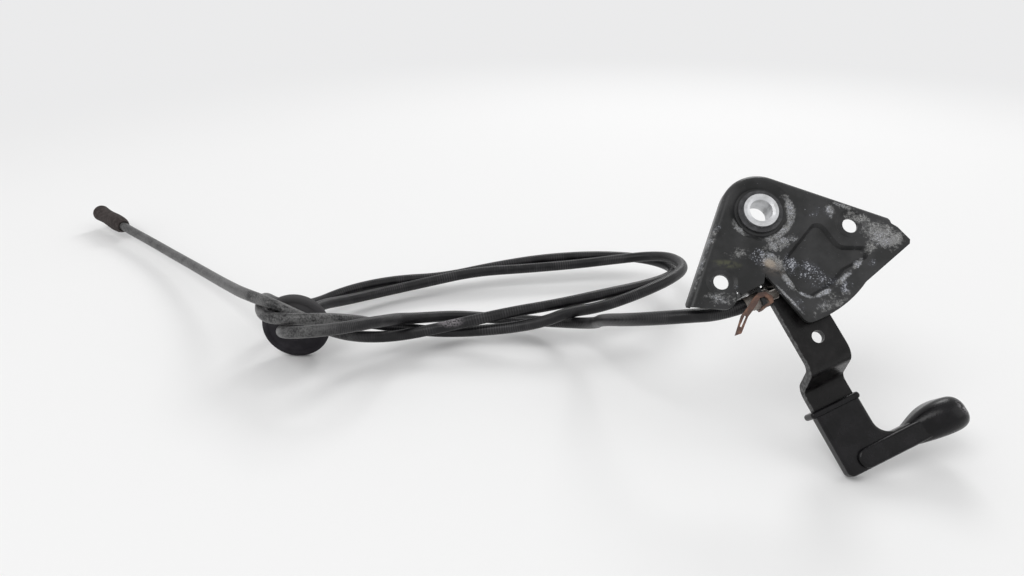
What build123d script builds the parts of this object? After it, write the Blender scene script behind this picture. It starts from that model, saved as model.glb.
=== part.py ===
"""Bonnet release handle: a pressed bracket, a cranked lever with a moulded grip, and its cable.

Millimetres and degrees. The origin is on the pivot's axis, in the plane of the bracket's front
face. +Z is up, +X is to the right, and +Y is away from the person who faces the bracket. The
bracket leans back as it does when the handle is laid on a table.
"""
import os
from math import atan2, cos, degrees, pi, radians, sin, tan

from build123d import *

os.makedirs("parts", exist_ok=True)

# How the handle lies
lean = 41.5                  # the bracket leans back this far from upright

# Pressed bracket
sheet = 2.0
corner_radius = 19.3         # the rounded top corner, about the pivot
left_edge_turn = 21.0        # the left edge, from upright
top_edge_turn = 20.8         # the top edge, below level
left_edge_length = 59.0
top_edge_length = 58.8
flange_depth = 9.0
bend_radius = 3.4
flange_foot_cut = 4.5        # the flange's end slopes up this far towards its back edge
clear = 40.0                 # how far a cutting shape reaches past what it cuts
fan_radius = 59.2            # the fan's lower edge, about the pivot
fan_end_turn = -38.0
fan_start_turn = -73.5
fan_corner_radius = 3.6
nose_tip = (70.6, -15.0)
nose_low = (70.2, -17.2)
nose_notch_out = (65.4, -8.6)
nose_notch_in = (62.6, -6.7)
foot_width = 23.9
foot_low = -50.6
relief_high = -40.2
notch_top_point = (-1.0, -32.6)
shelf_start = (-12.7, -42.8)
shelf_end = (-1.9, -36.9)
foot_corner_radius = 6.5
mount_hole = 7.6
upper_hole = (43.0, -7.4)
lower_hole = (-21.9, -36.2)
dimple_radius = 7.6
dimple_depth = 1.0
dish_radius = 16.0
dish_floor_radius = 12.4
dish_depth = 2.5
pocket_depth = 2.2
pocket_draft = 35.0
pocket_band = 11.0           # the border between the fan's edge and the pocket
pocket_low_turns = (-39.0, -52.0, -66.0)
pocket_corners = [           # the rest of the pocket's outline, and the rounding of each corner
    ((14.8, -43.4), 3.0),
    ((6.6, -27.4), 3.2),
    ((27.0, -3.6), 4.5),
    ((36.4, -18.2), 5.0),
    ((50.4, -18.4), 2.6),
    ((48.9, -24.6), 2.4),
]
shelf_depth = 17.0
ear_thickness = 2.0
ear_drop = 3.9               # below the cable's axis
ear_front = -5.3
ear_reach = 6.0
web_front = -15.3            # the plate behind the cable's end, that joins the ear
web_reach = 14.0

# Pivot, from the front to the back
bore_radius = 5.6
barrel_radius = 7.0
bush_length = 12.0
bush_head_radius = 8.5
bush_head_height = 3.0
bush_flare_height = 0.6
bush_flare_radius = 8.3
mouth_depth = 0.4
mouth_width = 1.3
collar_radius = 10.9
collar_height = 1.5
washer_thickness = 0.9
washer_radius = 12.0
back_washer_radius = 10.6
running_gap = 0.05           # radial gap of the turning fit
side_gap = 0.1               # gap beside a turning face
fit_gap = 0.05               # gap between fixed pieces

# Lever
strip_thickness = 4.0
strip_width = 22.1
strip_turn = 25.0            # the strip, from straight down
strip_offset = -5.35         # the strip's middle line, left of the pivot
lever_head_radius = 14.5
hook_start = 42.0            # where the strip's full width begins, from the pivot
neck_left = -15.3            # the strip's left edge above the notch for the cable's end
neck_sweep = 37.0            # the notch's upper side, about the pivot
notch_end = -9.0
crank_start = 78.8
crank_run = 6.4
crank_depth = 22.0
crank_radius = 4.6
lever_hole = 6.2
lever_hole_reach = 65.8
lever_hole_shift = 0.3       # from the strip's middle line
grip_end = 131.4
leg_end = grip_end - 3.9
arm_core_width = 6.0
arm_core_end = 34.0

# Grip
grip_wall = 2.5
grip_side = 1.25
grip_left_lap = 1.1          # past the strip's own edges
grip_right_lap = 0.6
grip_start = 98.2
arm_width = 10.9
grip_corner_radius = 3.0
inner_radius = 8.0
lip_thickness = 3.2
lip_left = -20.0
lip_right = 7.0
lip_height = 1.3
lip_back = 0.8
lip_round = 1.4
bar_width = 9.6
bar_height = 1.9
bar_start = -10.5            # where the bar begins, across the strip
bar_end = 29.0
bar_inset = 0.4
bar_root = 2.0
bar_round_top = 1.5
arm_end = 36.0
knob_round = 2.6
knob_sections = [            # across the strip, middle down the strip, middle depth, width, depth, corner
    (17.0, 126.0, -29.4, 9.6, 7.4, 2.6),
    (24.5, 125.6, -30.0, 13.2, 13.0, 4.6),
    (32.5, 125.2, -30.6, 16.4, 20.0, 6.6),
    (41.0, 125.4, -31.0, 17.4, 24.6, 7.8),
    (47.0, 125.8, -31.0, 15.4, 21.0, 6.8),
    (50.0, 126.2, -31.0, 9.6, 13.0, 4.2),
]
grip_back_round = 3.4
grip_front_round = 1.6

# Cable end
cable = 7.0
ferrule_turn = 21.0          # the cable's end, above level
ferrule_point = (-1.5, -42.5)
ferrule_back = -11.0         # depth of the cable's end behind the front face
ferrule_radius = 4.0
sleeve_radius = 3.8
groove_radius = 3.2
ferrule_tail = 8.0
ferrule_front = 5.0
nose_radius = 2.4
nose_length = 4.5
wire = 1.8
wire_bore_gap = 0.35
nipple_radius = 2.8
nipple_reach = 17.6          # the nipple, along the cable's end line
nipple_head_radius = 3.8
nipple_head = 1.0
clip_sheet = 0.9
clip_gap = 0.1
clip_front = -4.3
clip_outer = [(-16.5, -61.6), (-12.8, -51.9), (-9.1, -47.4), (-6.4, -43.4), (-3.7, -40.6),
              (-0.4, -40.1), (2.7, -41.9), (3.5, -44.2), (3.2, -45.3)]
clip_inner = [(1.3, -45.1), (0.7, -43.4), (-0.9, -42.4), (-3.1, -43.1), (-4.5, -45.9),
              (-6.9, -49.2), (-9.6, -52.6), (-13.3, -60.5)]
clip_slot = [(-11.0, -51.6), (-10.4, -52.2), (-13.1, -57.6), (-13.9, -57.2)]
finger_start = -1.2          # the clip's finger, along the cable's end line
finger_end = 0.5
finger_depth = 11.0

# Cable, boot and grommet
coil_radius = 9.5            # the bundle of the coil
boot_socket = 29.0           # how far the cable goes into the boot
boot_sections = [            # along the boot from its mouth, and the radius there
    (0.0, 4.7),
    (5.0, 6.3),
    (16.0, 6.8),
    (27.0, 6.3),
    (38.0, 6.4),
    (46.0, 6.8),
]
boot_end_round = 0.8
grommet_radius = 20.4
grommet_thickness = 6.0
grommet_round = 1.5
grommet_collar_radius = 7.5
grommet_collar_length = 4.0
grommet_centre = (-253.2, 57.9, -94.9)

front = Plane(
    origin=(0, 0, 0),
    x_dir=(1, 0, 0),
    z_dir=(0, -cos(radians(lean)), sin(radians(lean))),
)
through = Axis(origin=(0, 0, 0), direction=front.z_dir)


def at_depth(depth):
    """The plane parallel to the bracket's front face, this far in front of it."""
    return front.offset(depth)


def on_front(across, up, depth=0.0):
    """A point given across, up and in front of the bracket's face."""
    return front.from_local_coords(Vector(across, up, depth))


def turned(length, angle):
    """A flat vector of this length, at this angle from +X."""
    return Vector(length * cos(radians(angle)), length * sin(radians(angle)), 0)


def flat(vector):
    return (vector.X, vector.Y)


def disc(name, radius, bottom, height, hole):
    """A flat ring on the pivot's axis, its back face at the bottom depth."""
    with BuildPart() as ring:
        with BuildSketch(at_depth(bottom)):
            Circle(radius)
            Circle(hole, mode=Mode.SUBTRACT)
        extrude(amount=height)
    ring.part.label = name
    return ring.part


# The depths of the pivot's stack
dish_floor = -dish_depth
dish_back = dish_floor - sheet
bush_top = dish_floor + bush_head_height
bush_bottom = bush_top - bush_length
lever_front = dish_back - washer_thickness - side_gap
lever_back = lever_front - strip_thickness
back_washer_top = lever_back - side_gap
back_washer_bottom = bush_bottom + bush_flare_height
low_front = lever_front - crank_depth

# Corners of the bracket's outline
left_normal = turned(1, 180 - left_edge_turn)
top_normal = turned(1, 90 - top_edge_turn)
down_left = turned(1, 270 - left_edge_turn)
along_top = turned(1, -top_edge_turn)
left_tangent = left_normal * corner_radius
foot_left = left_tangent + down_left * left_edge_length
top_tangent = top_normal * corner_radius
top_end = top_tangent + along_top * top_edge_length
foot_right = Vector(foot_left.X + foot_width, foot_low, 0)
relief_top = Vector(foot_right.X, relief_high, 0)
shelf_left = Vector(*shelf_start)
shelf_right = Vector(*shelf_end)
notch_top = Vector(*notch_top_point)
fan_corner = turned(fan_radius, fan_start_turn)
fan_end = turned(fan_radius, fan_end_turn)
fan_middle = turned(fan_radius, (fan_end_turn + fan_start_turn) / 2)


# The cable's end line, flat in the bracket's own plane
end_way = turned(1, ferrule_turn)
end_up = turned(1, ferrule_turn + 90)
end_start = Vector(*ferrule_point)


def on_end(along, up=0.0):
    """A flat point given along the cable's end line and above it."""
    return end_start + end_way * along + end_up * up


def end_plane(along):
    """The plane across the cable's end line, facing back along it."""
    return Plane(
        origin=on_front(on_end(along).X, on_end(along).Y, ferrule_back),
        x_dir=front.z_dir,
        z_dir=front.x_dir * -end_way.X + front.y_dir * -end_way.Y,
    )


# The strip's own directions, flat in the bracket's plane
down_strip = turned(1, 270 + strip_turn)
over_strip = turned(1, strip_turn)
strip_left = strip_offset - strip_width / 2
strip_right = strip_offset + strip_width / 2


def on_strip(down, over):
    """A flat point given down the strip from the pivot and across it."""
    return flat(down_strip * down + over_strip * over)


slope_slide = strip_thickness / 2 * tan(atan2(crank_depth, crank_run) / 2)
nipple_spot = on_end(nipple_reach)

with BuildPart() as bracket:
    with BuildSketch(front) as bracket_outline:
        with BuildLine():
            CenterArc((0, 0), corner_radius, 90 - top_edge_turn, 90 + top_edge_turn - left_edge_turn)
            Polyline(flat(left_tangent), flat(foot_left), flat(foot_right), flat(relief_top),
                     flat(shelf_left), flat(shelf_right), flat(notch_top), flat(fan_corner))
            ThreePointArc(flat(fan_corner), flat(fan_middle), flat(fan_end))
            Polyline(flat(fan_end), nose_low, nose_tip, nose_notch_out, nose_notch_in,
                     flat(top_end), flat(top_tangent))
        make_face()
        near = bracket_outline.vertices().sort_by_distance(flat(foot_right))[0]
        fillet(near, foot_corner_radius)
        near = bracket_outline.vertices().sort_by_distance(flat(fan_corner))[0]
        fillet(near, fan_corner_radius)
    extrude(amount=-flange_depth)
    # The rounded bend along the left edge, round the corner and along the top
    bend_spots = (
        top_tangent + along_top * top_edge_length / 2,
        left_tangent + down_left * left_edge_length / 2,
        (left_normal + top_normal).normalized() * corner_radius,
    )
    fillet([bracket.edges().sort_by_distance(front.from_local_coords(spot))[0] for spot in bend_spots],
           bend_radius)
    # All behind the sheet goes, but for the flange
    with BuildSketch(at_depth(-sheet)):
        with BuildLine():
            inner = corner_radius - sheet
            CenterArc((0, 0), inner, 90 - top_edge_turn, 90 + top_edge_turn - left_edge_turn)
            Polyline(flat(left_normal * inner), flat(foot_left - left_normal * sheet + down_left * clear),
                     (2 * clear, -2 * clear), (2 * clear, 0), flat(top_end + top_normal * sheet),
                     flat(top_end - top_normal * sheet), flat(top_normal * inner))
        make_face()
    extrude(amount=-flange_depth, mode=Mode.SUBTRACT)
    # The lower end of the left flange slopes up towards its back edge
    foot_side = Plane(
        origin=front.from_local_coords(foot_left + left_normal * sheet),
        x_dir=front.from_local_coords(down_left) - front.origin,
        z_dir=front.from_local_coords(left_normal * -1) - front.origin,
    )
    with BuildSketch(foot_side):
        Polygon((clear, bend_radius), (0, bend_radius), (-flange_foot_cut, flange_depth + sheet),
                (clear, flange_depth + sheet), align=None)
    extrude(amount=3 * sheet, mode=Mode.SUBTRACT)
    # The shelf behind the lower edge
    shelf_way = (shelf_right - shelf_left).normalized()
    shelf_up = Vector(-shelf_way.Y, shelf_way.X, 0)
    with BuildSketch(front):
        Polygon(flat(shelf_left), flat(shelf_right), flat(shelf_right + shelf_up * sheet),
                flat(shelf_left + shelf_up * sheet), align=None)
    extrude(amount=-shelf_depth)
    # The ear under the shelf, with the slot that holds the cable's end
    with BuildSketch(front.offset(ear_front)):
        Polygon(flat(on_end(-ear_thickness / 2, -ear_drop)), flat(on_end(ear_thickness / 2, -ear_drop)),
                flat(on_end(ear_thickness / 2, ear_reach)), flat(on_end(-ear_thickness / 2, ear_reach)),
                align=None)
    extrude(amount=-(shelf_depth + ear_front))
    with BuildSketch(at_depth(web_front)):
        Polygon(flat(on_end(-ear_thickness / 2, -ear_drop)), flat(on_end(web_reach, -ear_drop)),
                flat(on_end(web_reach, ear_reach / 2)), flat(on_end(web_reach / 2, ear_reach)),
                flat(on_end(-ear_thickness / 2, ear_reach)), align=None)
    extrude(amount=-(shelf_depth + web_front))
    with BuildSketch(end_plane(ear_thickness)):
        SlotCenterPoint((0, 0), (0, 0.01), 2 * (groove_radius + fit_gap))
        with Locations((0, -ear_drop)):
            Rectangle(2 * (groove_radius + fit_gap), 2 * ear_drop)
    extrude(amount=2 * ear_thickness, mode=Mode.SUBTRACT)
    # The backs of the dish and the pocket stand out behind the sheet
    with BuildSketch(at_depth(-sheet)):
        Circle(dish_radius)
    extrude(amount=-dish_depth, taper=degrees(atan2(dish_radius - dish_floor_radius, dish_depth)))
    with BuildSketch(at_depth(-sheet)) as pocket_back:
        with BuildLine():
            low_right, low_middle, low_left = [
                flat(turned(fan_radius - pocket_band, turn)) for turn in pocket_low_turns]
            ThreePointArc(low_right, low_middle, low_left)
            Polyline(low_left, *[point for point, rounding in pocket_corners], low_right)
        make_face()
        for point, rounding in pocket_corners:
            fillet(pocket_back.vertices().sort_by_distance(point)[0], rounding)
    pocket_face = pocket_back.sketch
    extrude(amount=-pocket_depth, taper=pocket_draft)
    with BuildSketch(at_depth(-sheet)):
        with Locations(upper_hole, lower_hole):
            Circle(dimple_radius)
    extrude(amount=-dimple_depth, taper=60)
    # The same forms pressed into the front
    with BuildSketch(front):
        Circle(dish_radius)
    extrude(amount=-dish_depth, taper=degrees(atan2(dish_radius - dish_floor_radius, dish_depth)),
            mode=Mode.SUBTRACT)
    extrude(pocket_face.moved(Location(front.z_dir * sheet)), amount=-pocket_depth,
            taper=pocket_draft, mode=Mode.SUBTRACT)
    with BuildSketch(front):
        with Locations(upper_hole, lower_hole):
            Circle(dimple_radius)
    extrude(amount=-dimple_depth, taper=60, mode=Mode.SUBTRACT)
    with BuildSketch(front):
        Circle(barrel_radius + fit_gap)
        with Locations(upper_hole, lower_hole):
            Circle(mount_hole / 2)
    extrude(amount=-flange_depth, mode=Mode.SUBTRACT)
bracket.part.label = "mounting_bracket"

with BuildPart() as bush:
    with BuildSketch(at_depth(dish_floor + collar_height)):
        Circle(bush_head_radius)
    extrude(amount=bush_head_height - collar_height)
    with BuildSketch(at_depth(bush_bottom)):
        Circle(barrel_radius)
    extrude(amount=bush_length - 0.5)
    with BuildSketch(at_depth(bush_bottom)):
        Circle(bush_flare_radius)
    extrude(amount=bush_flare_height)
    with BuildSketch(at_depth(bush_bottom)):
        Circle(bore_radius)
    extrude(amount=bush_length, mode=Mode.SUBTRACT)
    rims = bush.edges().filter_by(GeomType.CIRCLE).sort_by(through)
    bore_wall = bush.faces().filter_by(GeomType.CYLINDER).sort_by(SortBy.RADIUS)[0]
    chamfer(rims[-2:].sort_by(SortBy.RADIUS)[0], mouth_depth, mouth_width, reference=bore_wall)
bush.part.label = "pivot_bush"

collar = disc("bush_collar", collar_radius, dish_floor, collar_height, barrel_radius + fit_gap)
washer = disc("thrust_washer", washer_radius, dish_back - washer_thickness, washer_thickness,
              barrel_radius + running_gap)
back_washer = disc("back_washer", back_washer_radius, back_washer_bottom,
                   back_washer_top - back_washer_bottom, barrel_radius + running_gap)

strip_side = Plane(
    origin=on_front(*on_strip(0, strip_left)),
    x_dir=front.from_local_coords(down_strip) - front.origin,
    z_dir=front.from_local_coords(over_strip) - front.origin,
)
with BuildPart() as lever:
    with BuildSketch(strip_side) as crank:
        crank_low = low_front - strip_thickness
        crank_end = crank_start + crank_run
        upper_out = (crank_start + slope_slide, -lever_front)
        lower_in = (crank_end + slope_slide, -low_front)
        lower_out = (crank_end - slope_slide, -crank_low)
        upper_in = (crank_start - slope_slide, -lever_back)
        Polygon((hook_start, -lever_front), upper_out, lower_in, (grip_start + 2, -low_front),
                (grip_start + 2, -crank_low), lower_out, upper_in, (hook_start, -lever_back), align=None)
        fillet(crank.vertices().sort_by_distance(upper_in)[0], crank_radius)
        fillet(crank.vertices().sort_by_distance(lower_in)[0], crank_radius)
        fillet(crank.vertices().sort_by_distance(upper_out)[0], crank_radius + strip_thickness)
        fillet(crank.vertices().sort_by_distance(lower_out)[0], crank_radius + strip_thickness)
    extrude(amount=strip_width)
    with BuildSketch(at_depth(lever_back)):
        Circle(lever_head_radius)
        Polygon(on_strip(0, -lever_head_radius), on_strip(neck_sweep - 3, neck_left),
                on_strip(hook_start, neck_left), on_strip(hook_start, strip_right),
                on_strip(0, strip_right), align=None)
        Circle(neck_sweep, mode=Mode.INTERSECT)
        Polygon(on_strip(neck_sweep - 3, notch_end), on_strip(hook_start + 2, notch_end),
                on_strip(hook_start + 2, strip_right), on_strip(neck_sweep - 3, strip_right), align=None)
    extrude(amount=strip_thickness)
    with BuildSketch(at_depth(crank_low)):
        Polygon(on_strip(grip_start, strip_left + grip_side), on_strip(leg_end, strip_left + grip_side),
                on_strip(leg_end, arm_core_end), on_strip(leg_end - arm_core_width, arm_core_end),
                on_strip(leg_end - arm_core_width, strip_right - grip_side),
                on_strip(grip_start, strip_right - grip_side), align=None)
    extrude(amount=strip_thickness)
    with BuildSketch(at_depth(lever_front)):
        Circle(barrel_radius + running_gap)
        with Locations(on_strip(lever_hole_reach, strip_offset + lever_hole_shift)):
            Circle(lever_hole / 2)
        with Locations(flat(nipple_spot)):
            Circle(nipple_radius + fit_gap)
    extrude(amount=-strip_thickness, mode=Mode.SUBTRACT)
lever.part.label = "lever_arm"

grip_front = low_front + grip_wall
grip_back = crank_low - grip_wall
grip_left = strip_left - grip_left_lap
grip_right = strip_right + grip_right_lap
arm_top = grip_end - arm_width
with BuildPart() as knob:
    for over, down, depth, width, deep, corner in knob_sections:
        with BuildSketch(Plane(
            origin=on_front(*on_strip(down, over), depth),
            x_dir=strip_side.x_dir,
            z_dir=strip_side.z_dir,
        )):
            RectangleRounded(width, deep, corner)
    loft()
    fillet(knob.faces().sort_by(Axis(origin=strip_side.origin, direction=strip_side.z_dir))[-1].edges(),
           knob_round)

with BuildPart() as ridge:
    with BuildSketch(at_depth(grip_front - bar_root)):
        bar_line = grip_end - bar_width / 2 - bar_inset
        bar_left = Vector(*on_strip(bar_line, bar_start + bar_width / 2))
        bar_right = Vector(*on_strip(bar_line, bar_end))
        SlotCenterPoint(flat((bar_left + bar_right) / 2), flat(bar_right), bar_width)
    extrude(amount=bar_root + bar_height)
    fillet(ridge.faces().sort_by(through)[-1].edges(), bar_round_top)

with BuildPart() as lip:
    with BuildSketch(at_depth(grip_back - lip_back)):
        lip_spot = on_strip(grip_start, (lip_left + lip_right) / 2)
        with Locations(Location((lip_spot[0], lip_spot[1], 0), strip_turn)):
            Rectangle(lip_right - lip_left, lip_thickness)
    extrude(amount=grip_front - grip_back + lip_back + lip_height)
    fillet(lip.edges(), lip_round)

with BuildPart() as grip:
    with BuildSketch(at_depth(grip_back)) as grip_outline:
        Polygon(on_strip(grip_start, grip_left), on_strip(grip_end, grip_left), on_strip(grip_end, arm_end),
                on_strip(arm_top, arm_end), on_strip(arm_top, grip_right),
                on_strip(grip_start, grip_right), align=None)
        fillet(grip_outline.vertices().sort_by_distance(on_strip(arm_top, grip_right))[0], inner_radius)
        fillet(grip_outline.vertices().sort_by_distance(on_strip(grip_end, grip_left))[0],
               grip_corner_radius)
    extrude(amount=grip_front - grip_back)
    fillet(grip.faces().sort_by(through)[0].edges(), grip_back_round)
    fillet(grip.faces().sort_by(through)[-1].edges(), grip_front_round)
    add(knob.part)
    add(ridge.part)
    add(lip.part)
    add(lever.part, mode=Mode.SUBTRACT)
grip.part.label = "handle_grip"

with BuildPart() as nipple:
    with BuildSketch(at_depth(ferrule_back - 2.5)):
        with Locations(flat(nipple_spot)):
            Circle(nipple_radius)
    extrude(amount=lever_front - ferrule_back + 2.5)
    with BuildSketch(at_depth(lever_front)):
        with Locations(flat(nipple_spot)):
            Circle(nipple_head_radius)
    extrude(amount=nipple_head - 0.2)
    with BuildSketch(end_plane(nipple_reach + 6)):
        Circle(wire / 2 + fit_gap)
    extrude(amount=12, mode=Mode.SUBTRACT)
nipple.part.label = "wire_nipple"

with BuildPart() as inner_wire:
    with BuildSketch(end_plane(nipple_reach + nipple_radius)):
        Circle(wire / 2)
    extrude(amount=nipple_reach + nipple_radius + ferrule_tail - fit_gap)
inner_wire.part.label = "inner_wire"

with BuildPart() as ferrule:
    with BuildSketch(end_plane(ferrule_front)):
        Circle(ferrule_radius)
    extrude(amount=ferrule_front + 4)
    with BuildSketch(end_plane(0)):
        Circle(sleeve_radius)
    extrude(amount=ferrule_tail)
    with BuildSketch(end_plane(ferrule_front + nose_length)):
        Circle(nose_radius)
    extrude(amount=nose_length)
    with BuildSketch(end_plane(ear_thickness / 2 + fit_gap)):
        Circle(ferrule_radius + 1)
        Circle(groove_radius, mode=Mode.SUBTRACT)
    extrude(amount=ear_thickness + 2 * fit_gap, mode=Mode.SUBTRACT)
    with BuildSketch(end_plane(ferrule_front + nose_length)):
        Circle(wire / 2 + wire_bore_gap)
    extrude(amount=30, mode=Mode.SUBTRACT)
ferrule.part.label = "conduit_ferrule"

finger_low = -ferrule_radius - clip_gap - clip_sheet
finger_high = finger_low + clip_sheet
with BuildPart() as clip:
    with BuildSketch(at_depth(clip_front)):
        Polygon(*clip_outer, flat(on_end(finger_end, finger_low)), flat(on_end(finger_start, finger_low)),
                flat(on_end(finger_start, finger_high)), *clip_inner, align=None)
        Polygon(*clip_slot, align=None, mode=Mode.SUBTRACT)
    extrude(amount=-clip_sheet)
    with BuildSketch(at_depth(clip_front)):
        Polygon(flat(on_end(finger_start, finger_low)), flat(on_end(finger_end, finger_low)),
                flat(on_end(finger_end, finger_high)), flat(on_end(finger_start, finger_high)), align=None)
    extrude(amount=-finger_depth)
clip.part.label = "cable_clip"


def radii_for(points):
    """A bend radius for each corner, as large as its shorter run allows."""
    result = []
    for i in range(1, len(points) - 1):
        before = Vector(*points[i]) - Vector(*points[i - 1])
        after = Vector(*points[i + 1]) - Vector(*points[i])
        half = radians(before.get_angle(after)) / 2
        result.append(0.45 * min(before.length, after.length) / tan(half))
    return result


lead_start = on_front(on_end(-ferrule_tail).X, on_end(-ferrule_tail).Y, ferrule_back)
lead_next = on_front(on_end(-ferrule_tail - 13).X, on_end(-ferrule_tail - 13).Y, ferrule_back)
lead_points = [
    (lead_start.X, lead_start.Y, lead_start.Z),
    (lead_next.X, lead_next.Y, lead_next.Z),
    (-35.6, -24.2, -47.0),
    (-50.5, -17.2, -51.4),
    (-62.0, -1.8, -60.4),
    (-72.0, 27.0, -75.6),
    (-71.4, 53.1, -91.3),
    (-88.7, 73.7, -101.1),
]
tail_points = [
    (-241.9, 37.9, -79.9),
    (-261.4, 43.5, -72.9),
    (-282.7, 59.7, -74.1),
    (-298.0, 86.0, -83.5),
    (-320.3, 116.2, -90.0),
    (-350.0, 152.0, -95.5),
    (-380.9, 185.9, -99.5),
    (-410.0, 215.0, -101.5),
    (-440.5, 242.4, -102.5),
    (-468.0, 267.5, -102.3),
]
coil_front = [
    (-175.6, 148.6, -102.5),
    (-204.0, 137.0, -101.5),
    (-245.0, 113.0, -97.0),
    (-267.0, 88.0, -90.5),
    (-268.0, 62.0, -85.0),
    (-250.0, 39.5, -83.5),
    (-220.5, 36.0, -86.5),
    (-176.0, 61.0, -98.5),
    (-121.8, 71.1, -101.5),
    (-91.4, 71.0, -95.4),
]
coil_back = [
    coil_front[-1],
    (-60.9, 71.0, -89.3),
    (-14.0, 98.5, -82.2),
    (-22.4, 150.2, -94.4),
    (-76.1, 169.4, -101.5),
    (-147.1, 160.2, -103.5),
    coil_front[0],
]
lead_radii = radii_for(lead_points)
tail_radii = radii_for(tail_points)
coil_front_radii = radii_for(coil_front)
coil_back_radii = radii_for(coil_back)

with BuildPart() as lead:
    with BuildLine() as lead_path:
        FilletPolyline(lead_points, radius=lead_radii)
    with BuildSketch(lead_path.line ^ 0):
        Circle(cable / 2)
    sweep(path=lead_path.line)
lead.part.label = "cable_lead"

with BuildPart() as tail:
    with BuildLine() as tail_path:
        FilletPolyline(tail_points, radius=tail_radii)
    with BuildSketch(tail_path.line ^ 0):
        Circle(cable / 2)
    sweep(path=tail_path.line)
tail.part.label = "cable_tail"

with BuildPart() as coil:
    with BuildLine() as front_path:
        FilletPolyline(coil_front, radius=coil_front_radii)
    with BuildSketch(front_path.line ^ 0):
        Circle(coil_radius)
    sweep(path=front_path.line)
    with BuildLine() as back_path:
        FilletPolyline(coil_back, radius=coil_back_radii)
    with BuildSketch(back_path.line ^ 0):
        Circle(coil_radius)
    sweep(path=back_path.line)
coil.part.label = "cable_coil"

grommet_plane = Plane(origin=grommet_centre, x_dir=(1, 0, 0), z_dir=(0, -1, 0))
with BuildPart() as grommet:
    with BuildSketch(grommet_plane):
        Circle(grommet_radius)
    extrude(amount=grommet_thickness / 2, both=True)
    fillet(grommet.edges(), grommet_round)
    with BuildSketch(grommet_plane):
        Circle(grommet_collar_radius)
    extrude(amount=grommet_thickness / 2 + grommet_collar_length, both=True)
    with BuildSketch(grommet_plane):
        Circle(cable / 2 + fit_gap)
    extrude(amount=grommet_thickness + grommet_collar_length, both=True, mode=Mode.SUBTRACT)
grommet.part.label = "firewall_grommet"

boot_way = (Vector(*tail_points[-1]) - Vector(*tail_points[-2])).normalized()
boot_start = Vector(*tail_points[-1]) - boot_way * boot_socket
with BuildPart() as boot:
    for along, radius in boot_sections:
        with BuildSketch(Plane(origin=boot_start + boot_way * along, z_dir=boot_way)):
            Circle(radius)
    loft()
    fillet(boot.faces().sort_by(Axis(origin=boot_start, direction=boot_way))[-1].edges(), boot_end_round)
    with BuildSketch(Plane(origin=boot_start, z_dir=boot_way)):
        Circle(cable / 2 + fit_gap)
    extrude(amount=boot_socket + fit_gap, mode=Mode.SUBTRACT)
boot.part.label = "end_boot"


def length_of(path):
    return sum(edge.length for edge in path.edges())


for title, path, radii in (("lead", lead_path, lead_radii), ("tail", tail_path, tail_radii),
                           ("coil front", front_path, coil_front_radii),
                           ("coil back", back_path, coil_back_radii)):
    print(title, "length", round(length_of(path), 1), "bend radii", [round(r, 1) for r in radii])

parts = [
    bracket.part, bush.part, collar, washer, lever.part, back_washer, grip.part, nipple.part,
    inner_wire.part, ferrule.part, clip.part, lead.part, coil.part, tail.part, grommet.part, boot.part,
]
for p in parts:
    export_step(p, "parts/" + p.label + ".step")
    b = p.bounding_box()
    print(p.label, round(p.volume, 1), p.is_valid, len(p.solids()), b.min, b.max)
print("swept", [round(length_of(path) * pi * radius ** 2, 1) for path, radius in (
    (lead_path, cable / 2), (tail_path, cable / 2), (front_path, coil_radius),
    (back_path, coil_radius))])
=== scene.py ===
import math
import bpy
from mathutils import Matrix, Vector


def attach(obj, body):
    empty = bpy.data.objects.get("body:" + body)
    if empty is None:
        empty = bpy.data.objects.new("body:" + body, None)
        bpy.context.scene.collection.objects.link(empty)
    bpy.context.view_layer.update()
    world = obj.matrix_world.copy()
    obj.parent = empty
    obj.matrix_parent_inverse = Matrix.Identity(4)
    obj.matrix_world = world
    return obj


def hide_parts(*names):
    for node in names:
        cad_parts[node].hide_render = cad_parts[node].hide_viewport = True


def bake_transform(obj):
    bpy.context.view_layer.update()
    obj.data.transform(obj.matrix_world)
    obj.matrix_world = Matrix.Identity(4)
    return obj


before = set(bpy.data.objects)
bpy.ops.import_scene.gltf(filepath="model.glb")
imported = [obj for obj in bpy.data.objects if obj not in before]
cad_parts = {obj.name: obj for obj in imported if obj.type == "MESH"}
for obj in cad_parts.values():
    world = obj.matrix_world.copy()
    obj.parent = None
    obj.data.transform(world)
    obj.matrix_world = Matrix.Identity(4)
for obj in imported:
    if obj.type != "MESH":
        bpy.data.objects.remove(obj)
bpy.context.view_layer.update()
scene = bpy.context.scene
scene.view_settings.view_transform = "Standard"
bpy.ops.object.select_all(action="DESELECT")
print("frame loaded")

# the bracket's own directions: across, up the plate and out of its face
leanBack = math.radians(41.5)
plateUp = Vector((0, math.sin(leanBack), math.cos(leanBack)))
plateOut = Vector((0, -math.cos(leanBack), math.sin(leanBack)))
stripTurn = math.radians(25)  # how far the lever's strip is turned on the plate


def onPlate(across, up, out):
    return Vector((across, 0, 0)) + plateUp * up + plateOut * out


def pickOnly(obj):
    bpy.ops.object.select_all(action="DESELECT")
    obj.select_set(True)
    bpy.context.view_layer.objects.active = obj


def settle(obj, name):  # its place goes into its mesh
    pickOnly(obj)
    bpy.ops.object.transform_apply(location=True, rotation=True, scale=True)
    obj.name = name
    obj.data.name = name


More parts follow.
